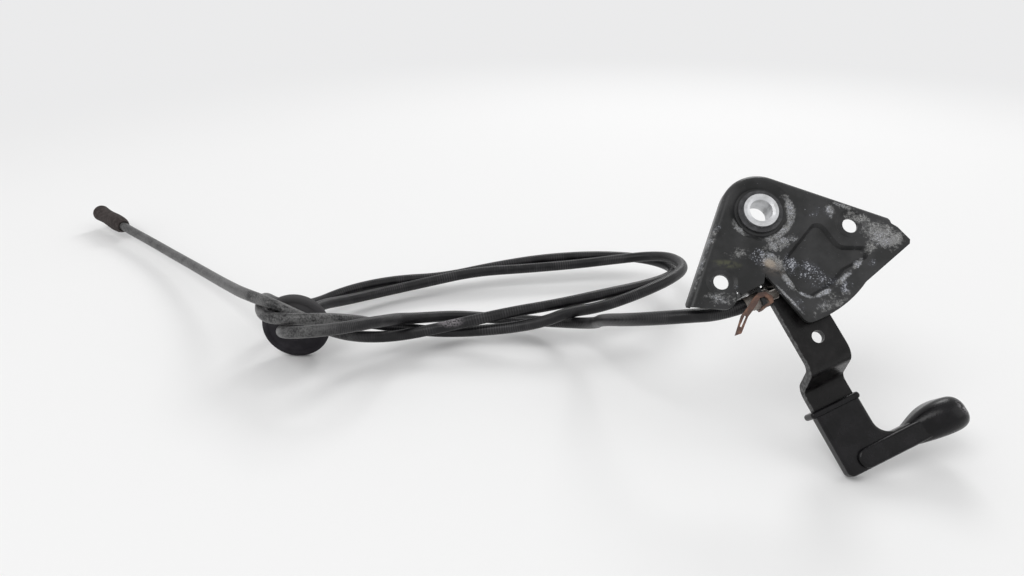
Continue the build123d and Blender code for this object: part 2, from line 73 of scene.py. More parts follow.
# the view
viewSettings = {
    "place": (-0.121777, -0.355927, 0.127706),
    "pitch": 64.5,
    "lens": 27.07,
    "sensor": 36,
    "nearest": 0.01,
}
bpy.ops.object.camera_add(
    location=viewSettings["place"],
    rotation=(math.radians(viewSettings["pitch"]), 0, 0),
)
camera = bpy.context.object
camera.name = "viewCamera"
camera.data.lens = viewSettings["lens"]
camera.data.sensor_width = viewSettings["sensor"]
camera.data.clip_start = viewSettings["nearest"]
scene.camera = camera
print("camera placed")


# material helpers
def newFinish(name):
    finish = bpy.data.materials.new(name)
    finish.use_nodes = True
    return finish, finish.node_tree, finish.node_tree.nodes["Principled BSDF"]


def add(tree, kind, inputs=None, **props):
    made = tree.nodes.new(kind)
    for key, value in props.items():
        setattr(made, key, value)
    for key, value in (inputs or {}).items():
        if isinstance(value, bpy.types.NodeSocket):
            tree.links.new(value, made.inputs[key])
        else:
            made.inputs[key].default_value = value
    return made


def objectSpace(tree):
    return add(tree, "ShaderNodeTexCoord").outputs["Object"]


def plateSpace(tree):  # across, up and out of the bracket's face
    turned = add(tree, "ShaderNodeMapping", {"Vector": objectSpace(tree)})
    turned.inputs["Rotation"].default_value = (leanBack - math.pi / 2, 0, 0)
    return turned.outputs["Vector"]


def stripSpace(tree):  # across and down the lever's strip, and out of its face
    turned = add(tree, "ShaderNodeMapping", {"Vector": plateSpace(tree)}, vector_type="TEXTURE")
    turned.inputs["Rotation"].default_value = (0, 0, stripTurn)
    return turned.outputs["Vector"]


def splitAxes(tree, space):
    return add(tree, "ShaderNodeSeparateXYZ", {0: space}).outputs


def lengthOf(tree, vector):
    return add(tree, "ShaderNodeVectorMath", {0: vector}, operation="LENGTH").outputs["Value"]


def noise(tree, space, scale, detail=4.0, rough=0.55, twist=0.0):
    made = add(tree, "ShaderNodeTexNoise", {
        "Vector": space, "Scale": scale, "Detail": detail, "Roughness": rough, "Distortion": twist})
    return made.outputs[0]


def ramp(tree, value, low, high, start=0.0, end=1.0):
    made = add(tree, "ShaderNodeMapRange", {
        "Value": value, "From Min": low, "From Max": high, "To Min": start, "To Max": end},
        interpolation_type="SMOOTHSTEP")
    return made.outputs[0]


def maths(tree, operation, *values):
    made = add(tree, "ShaderNodeMath", dict(enumerate(values)), operation=operation)
    return made.outputs[0]


def times(tree, first, second):
    return maths(tree, "MULTIPLY", first, second)


def larger(tree, first, second):
    return maths(tree, "MAXIMUM", first, second)


def weigh(tree, first, share, second):  # the first by its share and the second by the rest
    return maths(tree, "MULTIPLY_ADD", first, share, times(tree, second, 1 - share))


def mixColour(tree, share, first, second):
    made = add(tree, "ShaderNodeMix", data_type="RGBA")
    for socket, value in ((made.inputs[0], share), (made.inputs[6], first), (made.inputs[7], second)):
        if isinstance(value, bpy.types.NodeSocket):
            tree.links.new(value, socket)
        elif isinstance(value, float):
            socket.default_value = value
        else:
            socket.default_value = (*value, 1)
    return made.outputs[2]


def patch(tree, space, centre, reach, turn=0.0, core=0.35):  # a soft oval, in mm, full within its core
    placed = add(tree, "ShaderNodeMapping", {"Vector": space}, vector_type="TEXTURE")
    placed.inputs["Location"].default_value = [c / 1000 for c in centre]
    placed.inputs["Rotation"].default_value = (0, 0, math.radians(turn))
    placed.inputs["Scale"].default_value = [r / 1000 for r in reach]
    return ramp(tree, lengthOf(tree, placed.outputs["Vector"]), 1.0, core)


def setGloss(tree, shader, gloss, cloud, rough, swing):  # the roughness swings with the cloud
    shader.inputs["Specular IOR Level"].default_value = gloss
    tree.links.new(maths(tree, "MULTIPLY_ADD", cloud, swing, rough), shader.inputs["Roughness"])


def bump(tree, shader, height, strength, distance):
    made = add(tree, "ShaderNodeBump", {
        "Height": height, "Strength": strength, "Distance": distance})
    tree.links.new(made.outputs["Normal"], shader.inputs["Normal"])


def useFinish(obj, finish):
    obj.data.materials.clear()
    obj.data.materials.append(finish)


def dressNode(name, finish):
    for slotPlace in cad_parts[name].material_slots:
        slotPlace.material = finish


# black paint of the bracket, worn through and corroded in places
# a span says from which value a noise or an area counts, and where it counts in full
bracketPaint = {
    "dark": (0.0105, 0.0108, 0.0110),
    "grey": (0.030, 0.030, 0.031),
    "salt": (0.54, 0.55, 0.585),
    "blue": (0.185, 0.195, 0.235),
    "dust": (0.44, 0.44, 0.435),
    "dirt": (0.085, 0.085, 0.083),
    "smear": (0.068, 0.070, 0.042),
    "brown": (0.115, 0.095, 0.080),
    "beige": (0.40, 0.335, 0.265),
    # pale grey along the left flange's bend: rubbed paint and a painted highlight
    "bendHighlightAndWear": (0.27, 0.27, 0.28),
    "noises": {  # scale, detail, roughness, distortion
        "broad": (55, 4, 0.55),
        "cloud": (260, 6, 0.62, 0.6),
        "fine": (700, 5, 0.66),
        "grain": (1250, 4, 0.62),
        "grit": (2100, 3, 0.6),
    },
    "greySpan": (0.36, 0.68),
    "patchCore": 0.2,
    "ringWearAndHighlight": 0.85,  # of the dish's wall
    "fineShare": 0.5,
    "dustLift": 0.29,  # how much denser the film is in the dusty patches
    "filmSpan": (0.605, 0.83),
    "filmShare": 0.85,
    "dustSpan": (0.36, 0.64),
    "tintWear": (0.25, 1.0),
    "tintSpan": (0.4, 0.62),
    "tintShare": 0.2,
    "grainShare": 0.6,
    "leastWear": 0.22,
    "speckFrom": 0.66,  # specks show above this, and lower down where it is worn
    "speckDrop": -0.15,
    "speckSpan": (0.0, 0.045),
    "saltWear": (-0.25, 0.4),
    "saltSpan": (0.35, 0.62),
    "saltShare": 0.85,
    "gloss": 0.30,
    "rough": 0.24,
    "roughSwing": 0.22,
    "saltRough": 0.9,
    "filmRough": 0.75,
    "saltHeight": 0.5,
    "cloudHeight": 0.35,
    "relief": (0.5, 0.0004),
}
saltPatches = [  # centre across, up and out of the plate; reach; turn; strength
    ((1, -26.0, 0), (10, 8.5, 9), 0, 1.0),
    ((-4, -23, 0), (6, 6, 9), 20, 1.0),
    ((13, -27, -1), (9, 8, 9), -20, 0.95),
    ((22, -31, -2), (14, 8.5, 9), -28, 0.9),
    ((27, -36, -2), (12, 6, 9), 10, 0.85),
    ((10.2, -36.8, -1), (3.0, 8.0, 9), 37, 1.1),
    ((17.1, -42.6, -1), (6.0, 2.4, 9), -25, 1.15),
    ((25.6, -42.0, -1), (8.0, 2.6, 9), 24, 1.15),
    ((36.0, -34.8, -1), (9.5, 2.8, 9), 43, 1.1),
    ((44.2, -26.9, -1), (6.0, 2.8, 9), 47, 1.0),
    ((36.5, -39.5, 0), (9.5, 4.6, 9), 45, 0.95),
    ((9.0, -44.4, 0), (1.5, 17, 9), 40, 1.05),
    ((13.5, -46.5, 0), (4.0, 9, 9), 40, 0.7),
    ((57, -14, 0), (15, 9, 9), -25, 0.75),
    ((33.5, -0.5, 0), (3.2, 5.5, 9), 0, 0.95),
    ((39, 2.4, 0), (6.5, 2.6, 9), -15, 0.9),
    ((28, -1, 0), (11, 7, 9), 0, 0.55),
    ((8, -17, 0), (13, 5.5, 9), 20, 0.85),
    ((-22, -9, -1), (5.5, 3.0, 9), 25, 0.85),
    ((-26, -15, -2), (2.6, 6, 9), -21, 0.85),
    ((-31.5, -29, -2), (2.2, 7, 9), -21, 0.8),
    ((-24, -44.5, 0), (12, 6.5, 9), 0, 0.6),
    ((-15.5, -39, 0), (2.6, 2.6, 9), 0, 0.7),
    ((50.5, -27, 0), (5, 4, 9), 40, 0.65),
    ((25, -48, 0), (12, 5, 9), 24, 0.5),
]
dustPatches = [
    ((57, -12.5, 0), (15, 10, 9), -25, 1.0),
    ((63, -15, 0), (9, 7, 9), 40, 1.0),
    ((47, -3.5, 0), (12, 4.5, 9), -21, 0.75),
    ((51, -19, 0), (5, 6, 9), -40, 0.8),
    ((7, -17.5, -1), (14, 5.5, 9), 20, 0.85),
    ((4, -26.5, 0), (11, 6.5, 9), -30, 1.0),
    ((10.2, -36.5, -1), (3.4, 8.5, 9), 37, 1.0),
    ((17.1, -42.6, -1), (6.5, 2.2, 9), -25, 1.0),
    ((25.6, -42.0, -1), (8.5, 2.2, 9), 24, 1.0),
    ((36.0, -34.8, -1), (9.5, 2.4, 9), 43, 1.0),
    ((44.2, -26.9, -1), (6.5, 2.4, 9), 47, 1.0),
    ((9.0, -44.4, 0), (1.1, 17, 9), 40, 1.0),
    ((34, 0, 0), (4, 5.5, 9), 0, 0.85),
    ((40, 2.2, 0), (8, 2.8, 9), -18, 0.9),
    ((-13, -22, 0), (10, 5, 9), 0, 0.6),
    ((-25, -13, -2), (4, 11, 9), -28, 0.7),
    ((-31.5, -31, -2), (2.2, 20, 9), -21, 0.6),
    ((-23, -44, 0), (13, 7, 9), 0, 0.62),
    ((30, -46, 0), (22, 7, 9), 30, 0.55),
]
paintMarks = [  # colour; centre; reach; turn; core; the noise that breaks it up; its span; share
    ("smear", (-19, -27.5, 0), (9, 2.6, 5), -6, 0.35, "cloud", (0.36, 0.6), 0.8),
    ("brown", (3, -29, 0), (8, 6, 6), -30, 0.1, "cloud", (0.35, 0.6), 0.7),
    ("beige", (1.6, -27.2, 0), (4.0, 3.0, 3), -20, 0.3, "fine", (0.2, 0.5), 0.62),
    # paint rubbed off along the bend of the left flange, with a painted highlight along that bend
    ("bendHighlightAndWear", (-28.4, -21, -1.0), (1.7, 36, 2.6), -21, 0.2, "mixed", (0.46, 0.6, 0.3, 1.0), 0.45),
]
# the dish wall's right patch is corrosion; its left patch paints a highlight on the lower-left arc
dishWearAndHighlight = {
    "innerEdge": (0.0118, 0.0142),
    "outerEdge": (0.0180, 0.0152),
    "right": ((11, -7, 0), (18, 20, 20), 20, 0.5),
    "left": ((-11, -9, 0), (7, 9, 20), 40, 0.3),
    "leftShare": 0.8,
}


def dishRing(tree, space):  # the wall of the dish, right, left and below the bush
    axes = splitAxes(tree, space)
    far = lengthOf(tree, add(tree, "ShaderNodeCombineXYZ", {0: axes[0], 1: axes[1]}).outputs[0])
    ring = times(tree, ramp(tree, far, *dishWearAndHighlight["innerEdge"]), ramp(tree, far, *dishWearAndHighlight["outerEdge"]))
    right = patch(tree, space, *dishWearAndHighlight["right"])
    left = times(tree, patch(tree, space, *dishWearAndHighlight["left"]), dishWearAndHighlight["leftShare"])
    return times(tree, ring, larger(tree, right, left))


def patchMap(tree, space, patches):
    area = None
    for centre, reach, turn, strength in patches:
        one = times(tree, patch(tree, space, centre, reach, turn, bracketPaint["patchCore"]), strength)
        area = one if area is None else larger(tree, area, one)
    return area


def makeBracketPaint():
    look = bracketPaint
    finish, tree, shader = newFinish("bracketPaint")
    space = plateSpace(tree)
    noises = {kind: noise(tree, space, *values) for kind, values in look["noises"].items()}
    cloud = noises["cloud"]
    grit = noises["grit"]
    paint = mixColour(tree, ramp(tree, noises["broad"], *look["greySpan"]), look["dark"], look["grey"])
    ring = dishRing(tree, space)
    # the dish wall adds salt and film, which on its lower-left arc are a painted highlight
    worn = larger(tree, patchMap(tree, space, saltPatches), times(tree, ring, look["ringWearAndHighlight"]))
    dusty = larger(tree, patchMap(tree, space, dustPatches), ring)
    mixed = weigh(tree, noises["fine"], look["fineShare"], cloud)
    noises["mixed"] = mixed
    # a thin grey film, cloudy all over and thicker in the dusty patches
    film = ramp(tree, maths(tree, "MULTIPLY_ADD", dusty, look["dustLift"], mixed), *look["filmSpan"])
    film = times(tree, film, look["filmShare"])
    grime = mixColour(tree, ramp(tree, grit, *look["dustSpan"]), look["dirt"], look["dust"])
    colour = mixColour(tree, film, paint, grime)
    tint = times(tree, ramp(tree, worn, *look["tintWear"]), ramp(tree, cloud, *look["tintSpan"]))
    colour = mixColour(tree, times(tree, tint, look["tintShare"]), colour, look["blue"])
    # the salt breaks up into specks, closer together in the middle of a patch
    speckle = weigh(tree, noises["grain"], look["grainShare"], cloud)
    wornMost = larger(tree, worn, look["leastWear"])
    speckLine = maths(tree, "MULTIPLY_ADD", wornMost, look["speckDrop"], look["speckFrom"])
    speck = ramp(tree, maths(tree, "SUBTRACT", speckle, speckLine), *look["speckSpan"])
    salt = times(tree, speck, ramp(tree, worn, *look["saltWear"]))
    saltColour = mixColour(tree, ramp(tree, grit, *look["saltSpan"]), look["blue"], look["salt"])
    colour = mixColour(tree, times(tree, salt, look["saltShare"]), colour, saltColour)
    for shade, centre, reach, turn, core, kind, span, share in paintMarks:
        mark = times(tree, patch(tree, space, centre, reach, turn, core), ramp(tree, noises[kind], *span))
        colour = mixColour(tree, times(tree, mark, share), colour, look[shade])
    tree.links.new(colour, shader.inputs["Base Color"])
    shader.inputs["Specular IOR Level"].default_value = look["gloss"]
    smooth = maths(tree, "MULTIPLY_ADD", noises["broad"], look["roughSwing"], look["rough"])
    chalk = larger(tree, times(tree, salt, look["saltRough"]), times(tree, film, look["filmRough"]))
    tree.links.new(larger(tree, smooth, chalk), shader.inputs["Roughness"])
    cloudHeight = times(tree, cloud, look["cloudHeight"])
    height = maths(tree, "MULTIPLY_ADD", salt, look["saltHeight"], cloudHeight)
    bump(tree, shader, height, *look["relief"])
    return finish


# bare and plated metals
metalLooks = {
    "bushZinc": {"colour": (0.58, 0.585, 0.60), "stain": (0.36, 0.36, 0.355), "metal": 0.85,
                 "rough": 0.36, "scale": 260, "share": 0.5},
    "washerSteel": {"colour": (0.30, 0.30, 0.31), "stain": (0.16, 0.13, 0.11), "metal": 0.9,
                    "rough": 0.42, "scale": 300, "share": 0.5},
    "nippleBrass": {"colour": (0.22, 0.20, 0.17), "stain": (0.11, 0.09, 0.07), "metal": 0.8,
                    "rough": 0.5, "scale": 500, "share": 0.5},
    "wireSteel": {"colour": (0.24, 0.23, 0.22), "stain": (0.10, 0.08, 0.06), "metal": 0.8,
                  "rough": 0.45, "scale": 900, "share": 0.6},
    "ferruleMetal": {"colour": (0.30, 0.27, 0.245), "stain": (0.11, 0.08, 0.06), "metal": 0.3,
                     "rough": 0.5, "scale": 340, "share": 0.6},
    "clipRust": {"colour": (0.082, 0.047, 0.038), "stain": (0.25, 0.135, 0.09), "metal": 0.2,
                 "rough": 0.62, "scale": 300, "share": 0.75},
}
metalGrain = {
    "cloud": (5, 0.6),
    "grain": (3, 0.5),
    "grainScale": 4,  # times the cloud's
    "stainSpan": (0.42, 0.68),
    "roughSwing": 0.3,
    "roughDrop": 0.12,
    "gloss": 0.5,
    "relief": (0.3, 0.0002),
}


def makeMetal(name):
    look = metalLooks[name]
    finish, tree, shader = newFinish(name)
    space = objectSpace(tree)
    cloud = noise(tree, space, look["scale"], *metalGrain["cloud"])
    grain = noise(tree, space, look["scale"] * metalGrain["grainScale"], *metalGrain["grain"])
    share = times(tree, ramp(tree, cloud, *metalGrain["stainSpan"]), look["share"])
    tree.links.new(mixColour(tree, share, look["colour"], look["stain"]), shader.inputs["Base Color"])
    shader.inputs["Metallic"].default_value = look["metal"]
    rough = look["rough"] - metalGrain["roughDrop"]
    setGloss(tree, shader, metalGrain["gloss"], cloud, rough, metalGrain["roughSwing"])
    bump(tree, shader, grain, *metalGrain["relief"])
    return finish


# black mouldings, rubber and the lever's paint
softLooks = {
    "collarNylon": {"dark": (0.030, 0.030, 0.032), "light": (0.088, 0.087, 0.092), "rough": 0.5,
                    "gloss": 0.3, "scale": 300},
    "grommetRubber": {"dark": (0.016, 0.0145, 0.018), "light": (0.034, 0.032, 0.037), "rough": 0.78,
                      "gloss": 0.2, "scale": 150},
    "bootRubber": {"dark": (0.030, 0.024, 0.023), "light": (0.078, 0.066, 0.063), "rough": 0.85,
                   "gloss": 0.2, "scale": 420},
    "gripMoulding": {"dark": (0.0028, 0.0026, 0.0032), "light": (0.0092, 0.0084, 0.0100), "rough": 0.25,
                     "gloss": 0.22, "scale": 130},
    "leverPaint": {"dark": (0.0036, 0.0033, 0.0035), "light": (0.0125, 0.0115, 0.0118), "rough": 0.31,
                   "gloss": 0.21, "scale": 170},
}
softGrain = {
    "cloud": (5, 0.58),
    "dust": (3, 0.6),
    "dustScale": 9,  # times the cloud's
    "cloudSpan": (0.38, 0.72, 0.0, 0.75),
    "dustSpan": (0.62, 0.8, 0.0, 0.25),
    "roughSwing": 0.3,
    "roughDrop": 0.15,
    "relief": (0.25, 0.0003),
}


def makeSoft(name):
    look = softLooks[name]
    finish, tree, shader = newFinish(name)
    space = objectSpace(tree)
    cloud = noise(tree, space, look["scale"], *softGrain["cloud"])
    dust = noise(tree, space, look["scale"] * softGrain["dustScale"], *softGrain["dust"])
    cloudShare = ramp(tree, cloud, *softGrain["cloudSpan"])
    share = maths(tree, "ADD", cloudShare, ramp(tree, dust, *softGrain["dustSpan"]))
    tree.links.new(mixColour(tree, share, look["dark"], look["light"]), shader.inputs["Base Color"])
    rough = look["rough"] - softGrain["roughDrop"]
    setGloss(tree, shader, look["gloss"], cloud, rough, softGrain["roughSwing"])
    bump(tree, shader, dust, *softGrain["relief"])
    return finish


# the lever's paint is chipped along its long front edges, and the grip's end is scuffed
wear = {
    "edge": (0.20, 0.20, 0.20),
    "edges": (-0.0164, 0.0057),  # left and right, across the strip
    "edgeWidth": 0.00055,
    "edgeNoise": (420, 5, 0.6),
    "edgeSpan": (0.47, 0.6),
    "edgeShare": 0.4,
    "scuff": (0.30, 0.29, 0.30),
    "scuffPlace": (48.0, -124.0, -14.0),  # across, up and out of the strip, from the pivot
    "scuffReach": (5.0, 6.5, 26.0),
    "scuffCore": 0.2,
    "scuffNoise": (420, 6, 0.66, 1.5),
    "scuffSpan": (0.47, 0.58),
    "scuffShare": 0.8,
}


def layWearAndLight(finish, share, colour):  # lays a colour over what the base colour has now, for wear and for painted light
    tree = finish.node_tree
    shader = tree.nodes["Principled BSDF"]
    under = shader.inputs["Base Color"].links[0].from_socket
    tree.links.new(mixColour(tree, share, under, colour), shader.inputs["Base Color"])


def chipEdges(finish):
    tree = finish.node_tree
    space = stripSpace(tree)
    across = splitAxes(tree, space)[0]
    near = None
    for edge in wear["edges"]:
        away = maths(tree, "ABSOLUTE", maths(tree, "SUBTRACT", across, edge))
        one = ramp(tree, away, wear["edgeWidth"], 0.0)
        near = one if near is None else larger(tree, near, one)
    chips = times(tree, near, ramp(tree, noise(tree, space, *wear["edgeNoise"]), *wear["edgeSpan"]))
    layWearAndLight(finish, times(tree, chips, wear["edgeShare"]), wear["edge"])


def scuffEnd(finish):
    tree = finish.node_tree
    space = stripSpace(tree)
    area = patch(tree, space, wear["scuffPlace"], wear["scuffReach"], core=wear["scuffCore"])
    marks = ramp(tree, noise(tree, space, *wear["scuffNoise"]), *wear["scuffSpan"])
    layWearAndLight(finish, times(tree, times(tree, marks, area), wear["scuffShare"]), wear["scuff"])


dressNode("mounting_bracket", makeBracketPaint())
dressNode("pivot_bush", makeMetal("bushZinc"))
dressNode("bush_collar", makeSoft("collarNylon"))
dressNode("thrust_washer", bpy.data.materials["collarNylon"])
dressNode("back_washer", makeMetal("washerSteel"))
leverPaint = makeSoft("leverPaint")
chipEdges(leverPaint)
dressNode("lever_arm", leverPaint)
gripMoulding = makeSoft("gripMoulding")
scuffEnd(gripMoulding)
dressNode("handle_grip", gripMoulding)
dressNode("wire_nipple", makeMetal("nippleBrass"))
dressNode("conduit_ferrule", makeMetal("ferruleMetal"))
dressNode("cable_clip", makeMetal("clipRust"))
print("metal and moulded pieces dressed")

# the cable: out of its end fitting, twice round, through the grommet and off to the boot
# 60 of its 74 points were placed by a least-squares fit to the line seen, and not chosen by hand
cable = {"across": 0.007, "smooth": 10, "round": 8}  # steps between points and round it
cableRoute = [
    (-0.0090, -0.0218, -0.0413),
    (-0.0211, -0.0249, -0.0441),
    (-0.0356, -0.0242, -0.0456),
    (-0.0505, -0.0172, -0.0506),
    (-0.0620, -0.0018, -0.0595),
    (-0.0720, 0.0270, -0.0747),
    (-0.0714, 0.0531, -0.0912),
    (-0.0987, 0.0857, -0.1072),
    (-0.1335, 0.0925, -0.1082),
    (-0.1546, 0.0860, -0.1030),
    (-0.1687, 0.0786, -0.0997),
    (-0.1818, 0.0695, -0.0960),
    (-0.1903, 0.0577, -0.0901),
    (-0.1922, 0.0438, -0.0834),
    (-0.2013, 0.0257, -0.0760),
    (-0.2185, 0.0157, -0.0746),
    (-0.2374, 0.0165, -0.0770),
    (-0.2515, 0.0265, -0.0827),
    (-0.2572, 0.0419, -0.0894),
    (-0.2533, 0.0580, -0.0949),
    (-0.2498, 0.0724, -0.0939),
    (-0.2452, 0.0897, -0.0966),
    (-0.2336, 0.1076, -0.1025),
    (-0.2127, 0.1246, -0.1048),
    (-0.1833, 0.1391, -0.1041),
    (-0.1488, 0.1500, -0.1006),
    (-0.1114, 0.1573, -0.1012),
    (-0.0746, 0.1630, -0.1004),
    (-0.0437, 0.1648, -0.0971),
    (-0.0226, 0.1591, -0.0921),
    (-0.0093, 0.1422, -0.0857),
    (-0.0051, 0.1180, -0.0824),
    (-0.0165, 0.0978, -0.0812),
    (-0.0391, 0.0840, -0.0853),
    (-0.0664, 0.0751, -0.0915),
    (-0.0869, 0.0679, -0.0909),
    (-0.1032, 0.0627, -0.0956),
    (-0.1297, 0.0664, -0.1025),
    (-0.1701, 0.0720, -0.1078),
    (-0.2042, 0.0617, -0.0960),
    (-0.2194, 0.0360, -0.0788),
    (-0.2462, 0.0289, -0.0755),
    (-0.2688, 0.0418, -0.0808),
    (-0.2758, 0.0708, -0.0808),
    (-0.2736, 0.0900, -0.0963),
    (-0.2581, 0.1043, -0.1056),
    (-0.2353, 0.1235, -0.1023),
    (-0.2055, 0.1395, -0.1023),
    (-0.1713, 0.1505, -0.1053),
    (-0.1366, 0.1603, -0.1013),
    (-0.1001, 0.1671, -0.0977),
    (-0.0633, 0.1721, -0.0972),
    (-0.0329, 0.1718, -0.0982),
    (-0.0144, 0.1596, -0.0969),
    (-0.0071, 0.1392, -0.0939),
    (-0.0149, 0.1159, -0.0891),
    (-0.0352, 0.0958, -0.0858),
    (-0.0630, 0.0826, -0.0855),
    (-0.0927, 0.0746, -0.0888),
    (-0.1251, 0.0690, -0.0920),
    (-0.1593, 0.0626, -0.0975),
    (-0.1906, 0.0582, -0.1025),
    (-0.2125, 0.0516, -0.0998),
    (-0.2271, 0.0405, -0.0898),
    (-0.2419, 0.0379, -0.0799),
    (-0.2614, 0.0435, -0.0729),
    (-0.2827, 0.0597, -0.0741),
    (-0.2980, 0.0860, -0.0839),
    (-0.3203, 0.1162, -0.0916),
    (-0.3500, 0.1520, -0.0977),
    (-0.3809, 0.1859, -0.1020),
    (-0.4100, 0.2150, -0.1035),
    (-0.4405, 0.2424, -0.1035),
    (-0.4680, 0.2675, -0.1027),
]
bpy.ops.curve.primitive_nurbs_path_add()
cableLine = bpy.context.object
cableLine.name = "pullCable"
cableLine.data.splines.clear()
spline = cableLine.data.splines.new("NURBS")
spline.points.add(len(cableRoute) - 1)
for point, place in zip(spline.points, cableRoute):
    point.co = (*place, 1)
spline.order_u = 3
spline.use_endpoint_u = True
spline.resolution_u = cable["smooth"]
cableLine.data.resolution_u = cable["smooth"]
cableLine.data.bevel_depth = cable["across"] / 2
cableLine.data.bevel_resolution = cable["round"]
cableLine.data.use_fill_caps = True

# the sleeve has fine ribs, dust on its front left loops and its far end, and one worn patch
sleeve = {
    "dark": (0.0042, 0.0040, 0.0048),
    "light": (0.0125, 0.0120, 0.0135),
    "ribbed": (0.080, 0.078, 0.080),
    "dust": (0.175, 0.174, 0.172),
    "worn": (0.24, 0.22, 0.235),
    "cloud": (90, 5, 0.58),
    "fine": (900, 4, 0.6),
    "lightSpan": (0.35, 0.7),
    "loops": ((-262, 36, -80), (66, 44, 34), 0, 0.5),  # centre, reach, turn and core
    "farEnd": (-0.285, -0.315, 0.0, 0.8),  # a span across, and the share at its two ends
    "dustSpan": (0.75, 1.25),
    "dustShare": 0.75,
    "ribs": 1500,  # over the whole length
    "ribSpan": (0.1, 1.0),
    "rubNoise": (45, 3),
    "rubSpan": (0.47, 0.6),
    "rubShare": 0.38,
    "wornPatch": ((-160, 62.5, -94.5), (11, 6, 4.5), 0, 0.3),
    "wornSpan": (0.40, 0.56),
    "wornShare": 0.75,
    "rough": 0.20,
    "roughSwing": 0.3,
    "gloss": 0.30,
    "ribHeight": 0.35,
    "fineHeight": 0.3,
    "relief": (0.35, 0.0003),
}


def makeSleeve():
    look = sleeve
    finish, tree, shader = newFinish("cableSleeve")
    space = objectSpace(tree)
    cloud = noise(tree, space, *look["cloud"])
    fine = noise(tree, space, *look["fine"])
    colour = mixColour(tree, ramp(tree, cloud, *look["lightSpan"]), look["dark"], look["light"])
    farEnd = ramp(tree, splitAxes(tree, space)[0], *look["farEnd"])
    dusty = larger(tree, patch(tree, space, *look["loops"]), farEnd)
    dusty = times(tree, dusty, ramp(tree, maths(tree, "ADD", cloud, fine), *look["dustSpan"]))
    colour = mixColour(tree, times(tree, dusty, look["dustShare"]), colour, look["dust"])
    # the ribs are paler where they are rubbed
    along = splitAxes(tree, add(tree, "ShaderNodeTexCoord").outputs["UV"])[0]
    ribs = maths(tree, "SINE", times(tree, along, look["ribs"] * 2 * math.pi))
    rubbed = ramp(tree, noise(tree, space, *look["rubNoise"]), *look["rubSpan"])
    rubbed = times(tree, ramp(tree, ribs, *look["ribSpan"]), rubbed)
    colour = mixColour(tree, times(tree, rubbed, look["rubShare"]), colour, look["ribbed"])
    area = times(tree, patch(tree, space, *look["wornPatch"]), ramp(tree, fine, *look["wornSpan"]))
    colour = mixColour(tree, times(tree, area, look["wornShare"]), colour, look["worn"])
    tree.links.new(colour, shader.inputs["Base Color"])
    setGloss(tree, shader, look["gloss"], cloud, look["rough"], look["roughSwing"])
    fineHeight = times(tree, fine, look["fineHeight"])
    height = maths(tree, "MULTIPLY_ADD", ribs, look["ribHeight"], fineHeight)
    bump(tree, shader, height, *look["relief"])
    return finish


useFinish(cableLine, makeSleeve())
print("cable laid")

turning = {"weld": 0.00001, "smooth": 34}


def turnedPiece(name, profile, place, way, steps):  # profile in mm: off the axis, along it
    bpy.ops.curve.primitive_nurbs_path_add()
    outline = bpy.context.object
    outline.data.splines.clear()
    shape = outline.data.splines.new("POLY")
    shape.points.add(len(profile) - 1)
    for point, (out, along) in zip(shape.points, profile):
        point.co = (out / 1000, 0, along / 1000, 1)
    pickOnly(outline)
    bpy.ops.object.convert(target="MESH")
    made = bpy.context.object
    bpy.ops.object.mode_set(mode="EDIT")
    bpy.ops.mesh.select_all(action="SELECT")
    bpy.ops.mesh.spin(steps=steps, angle=2 * math.pi, center=(0, 0, 0), axis=(0, 0, 1))
    bpy.ops.mesh.select_all(action="SELECT")
    bpy.ops.mesh.remove_doubles(threshold=turning["weld"])
    bpy.ops.mesh.normals_make_consistent(inside=False)
    bpy.ops.object.mode_set(mode="OBJECT")
    made.location = place
    made.rotation_mode = "QUATERNION"
    made.rotation_quaternion = Vector(way).to_track_quat("Z", "Y")
    settle(made, name)
    bpy.ops.object.shade_smooth_by_angle(angle=math.radians(turning["smooth"]))
    return made


# the grommet: a disc with a rounded rim, a shallow groove, and a hub round the cable on both sides
grommet = {
    "place": (-0.2532, 0.0579, -0.0949),
    "way": (0, -1, 0),
    "steps": 96,
    "profile": [
        (3.6, 0.0), (3.6, 6.4), (3.9, 6.9), (4.6, 7.0), (6.2, 6.9), (7.0, 6.4), (7.5, 5.4), (8.1, 4.3),
        (9.2, 3.4), (10.8, 3.0), (14.6, 2.9), (15.2, 2.5), (16.4, 2.4), (17.0, 2.8), (18.2, 3.0),
        (19.3, 2.8), (20.0, 2.2), (20.4, 1.2), (20.4, -1.2), (20.0, -2.2), (19.3, -2.8), (18.2, -3.0),
        (10.8, -3.0), (9.2, -3.4), (8.1, -4.3), (7.5, -5.4), (7.0, -6.4), (6.2, -6.9), (4.6, -7.0),
        (3.9, -6.9), (3.6, -6.4), (3.6, 0.0),
    ],
    # a paler colour for the grommet's upper part: painted light from above, not dust
    "dust": (0.085, 0.084, 0.084),
    "dustSpan": (-0.100, -0.078),  # of its height
    "dustShare": 0.55,
}


def paintLitTop(finish):  # the grommet's upper part is painted paler: painted light from above
    tree = finish.node_tree
    high = ramp(tree, splitAxes(tree, objectSpace(tree))[2], *grommet["dustSpan"])
    layWearAndLight(finish, times(tree, high, grommet["dustShare"]), grommet["dust"])


grommetDisc = turnedPiece("grommetDisc", grommet["profile"], grommet["place"],
                          grommet["way"], grommet["steps"])
grommetRubber = makeSoft("grommetRubber")
paintLitTop(grommetRubber)
useFinish(grommetDisc, grommetRubber)

